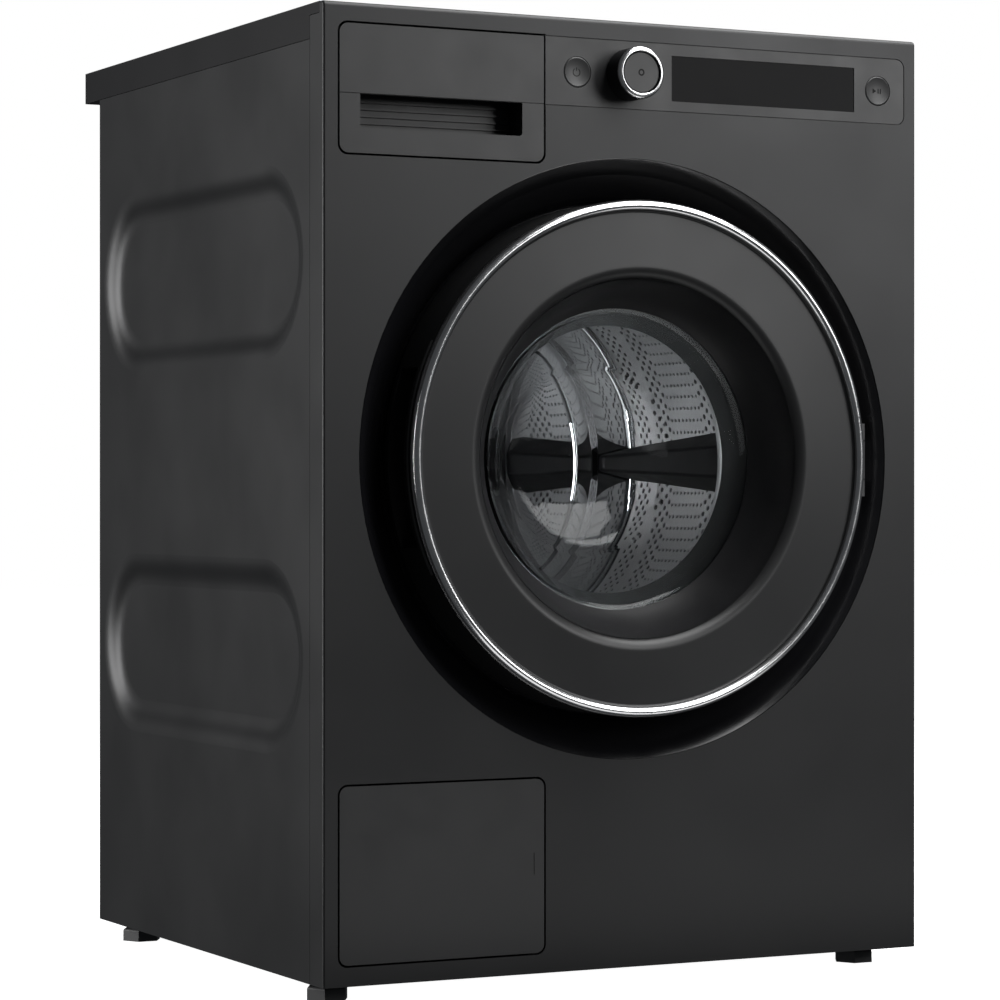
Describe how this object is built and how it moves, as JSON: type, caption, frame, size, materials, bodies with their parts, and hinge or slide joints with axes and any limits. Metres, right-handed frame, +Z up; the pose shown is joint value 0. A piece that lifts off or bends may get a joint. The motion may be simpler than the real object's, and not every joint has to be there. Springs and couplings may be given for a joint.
{
  "type": "front-loading washing machine",
  "caption": "Front-loading washing machine with a round glass door in a dished recess, top-left detergent drawer, knob and screen, lower-left service flap, on a drum in a sprung tub.",
  "frame": {"origin": "on the floor, at the centre of the machine's bounding box", "axes": "+Z up, the front with the door faces -Y, +X to the right seen from the front"},
  "size_m": [0.595, 0.608, 0.85],
  "materials": {
    "cabinet_paint": "satin",
    "worktop_board": "satin",
    "rear_steel": "satin",
    "zinc_screws": "satin",
    "base_steel": "matte",
    "recess_plastic": "gloss",
    "fascia_plastic": "satin",
    "button_plastic": "satin",
    "knob_plastic": "gloss",
    "bright_trim": "polished",
    "screen_glass": "gloss",
    "door_plastic": "satin",
    "funnel_plastic": "gloss",
    "door_glass": "clear",
    "seal_rubber": "matte",
    "belt_rubber": "matte",
    "dispenser_plastic": "satin",
    "service_plastic": "satin",
    "drum_steel": "brushed",
    "lifter_plastic": "satin",
    "cast_parts": "cast",
    "bearing_steel": "polished",
    "spring_steel": "satin",
    "tub_plastic": "matte",
    "weight_casting": "rough",
    "motor_metal": "satin",
    "foot_plastic": "matte"
  },
  "bodies": {
    "cabinet": {"front_panel": "cabinet_paint", "left_side_panel": "cabinet_paint", "right_side_panel": "cabinet_paint", "worktop": "worktop_board", "rear_panel": "rear_steel", "rear_cover": "rear_steel", "rear_cover_screws": "zinc_screws", "base_plate": "base_steel", "door_recess": "recess_plastic", "control_fascia": "fascia_plastic", "screen": "screen_glass", "dispenser_housing": "dispenser_plastic", "flap_frame": "service_plastic", "drain_pump": "service_plastic", "door_seal": "seal_rubber", "door_lock": "service_plastic", "hinge_bracket": "base_steel", "leg_cylinders": "base_steel", "leg_springs": "spring_steel", "inlet_valve": "service_plastic", "drain_hose": "seal_rubber", "mains_gland": "service_plastic", "sump_hose": "seal_rubber"},
    "tub": {"tub": "tub_plastic", "tub_front": "tub_plastic", "counterweights": "weight_casting", "heater": "bearing_steel", "bearing_housing": "cast_parts", "drum_bearings": "bearing_steel", "motor": "motor_metal", "drive_belt": "belt_rubber", "leg_pistons": "bearing_steel"},
    "drum": {"drum_shell": "drum_steel", "drum_back": "drum_steel", "lifters": "lifter_plastic", "drum_hub": "cast_parts", "hub_cover": "lifter_plastic", "drum_pulley": "cast_parts"},
    "motor_rotor": {"motor_pulley": "cast_parts"},
    "door": {"door_ring": "bright_trim", "door_face": "door_plastic", "door_funnel": "funnel_plastic", "door_glass": "door_glass", "door_shell": "door_plastic", "hinge_leaf": "base_steel"},
    "latch_hook": {"latch_hook": "service_plastic"},
    "drawer": {"drawer_front": "fascia_plastic", "drawer_tray": "dispenser_plastic"},
    "service_flap": {"service_flap": "fascia_plastic"},
    "filter_cap": {"filter_cap": "service_plastic"},
    "pump_impeller": {"pump_impeller": "service_plastic"},
    "knob": {"knob_sleeve": "knob_plastic", "knob_ring": "bright_trim"},
    "knob_cap": {"knob_cap": "button_plastic"},
    "power_button": {"power_button": "button_plastic"},
    "start_button": {"start_button": "button_plastic"},
    "front_left_foot": {"front_left_foot": "foot_plastic"},
    "front_right_foot": {"front_right_foot": "foot_plastic"},
    "rear_left_foot": {"rear_left_foot": "foot_plastic"},
    "rear_right_foot": {"rear_right_foot": "foot_plastic"}
  },
  "joints": [
    {"name": "door_hinge", "type": "hinge", "parent": "cabinet", "child": "door", "pos_m": [0.232, -0.284, 0.465], "axis": [0, 0, 1], "range_deg": [0, 105]},
    {"name": "latch_hook_pivot", "type": "hinge", "parent": "door", "child": "latch_hook", "pos_m": [-0.19, -0.2485, 0.465], "axis": [0, 0, 1], "range_deg": [0, 8], "stiffness_Nm_per_rad": 0.6},
    {"name": "tub_float", "type": "slide", "parent": "cabinet", "child": "tub", "axis": [0, 0, 1], "range_m": [-0.008, 0.008], "stiffness_N_per_m": 30000, "springref_m": 0.01292, "deforming": ["leg_springs", "sump_hose", "door_seal"]},
    {"name": "drum_spin", "type": "hinge", "parent": "tub", "child": "drum", "pos_m": [0, -0.016, 0.465], "axis": [0, 1, 0], "continuous": true},
    {"name": "motor_spin", "type": "hinge", "parent": "tub", "child": "motor_rotor", "pos_m": [-0.11, 0.174, 0.148], "axis": [0, 1, 0], "continuous": true},
    {"name": "drawer_slide", "type": "slide", "parent": "cabinet", "child": "drawer", "axis": [0, -1, 0], "range_m": [0, 0.2]},
    {"name": "service_flap_hinge", "type": "hinge", "parent": "cabinet", "child": "service_flap", "pos_m": [-0.2704, -0.2714, 0.1115], "axis": [0, 0, -1], "range_deg": [0, 90]},
    {"name": "filter_cap_turn", "type": "hinge", "parent": "cabinet", "child": "filter_cap", "pos_m": [-0.185, -0.246, 0.098], "axis": [0, -1, 0], "range_deg": [0, 90]},
    {"name": "impeller_spin", "type": "hinge", "parent": "cabinet", "child": "pump_impeller", "pos_m": [-0.185, -0.18, 0.098], "axis": [0, 1, 0], "continuous": true},
    {"name": "knob_turn", "type": "hinge", "parent": "cabinet", "child": "knob", "pos_m": [-0.004, -0.276, 0.8025], "axis": [0, -1, 0], "continuous": true},
    {"name": "knob_cap_press", "type": "slide", "parent": "knob", "child": "knob_cap", "axis": [0, 1, 0], "range_m": [0, 0.0012], "stiffness_N_per_m": 500},
    {"name": "power_button_press", "type": "slide", "parent": "cabinet", "child": "power_button", "axis": [0, 1, 0], "range_m": [0, 0.0015], "stiffness_N_per_m": 500},
    {"name": "start_button_press", "type": "slide", "parent": "cabinet", "child": "start_button", "axis": [0, 1, 0], "range_m": [0, 0.0015], "stiffness_N_per_m": 500},
    {"name": "front_left_foot_screw", "type": "slide", "parent": "cabinet", "child": "front_left_foot", "axis": [0, 0, -1], "range_m": [0, 0.012]},
    {"name": "front_right_foot_screw", "type": "slide", "parent": "cabinet", "child": "front_right_foot", "axis": [0, 0, -1], "range_m": [0, 0.012]},
    {"name": "rear_left_foot_screw", "type": "slide", "parent": "cabinet", "child": "rear_left_foot", "axis": [0, 0, -1], "range_m": [0, 0.012]},
    {"name": "rear_right_foot_screw", "type": "slide", "parent": "cabinet", "child": "rear_right_foot", "axis": [0, 0, -1], "range_m": [0, 0.012]}
  ],
  "couplings": [
    {"joint": "motor_spin", "follows": "drum_spin", "ratio": 12.333}
  ]
}
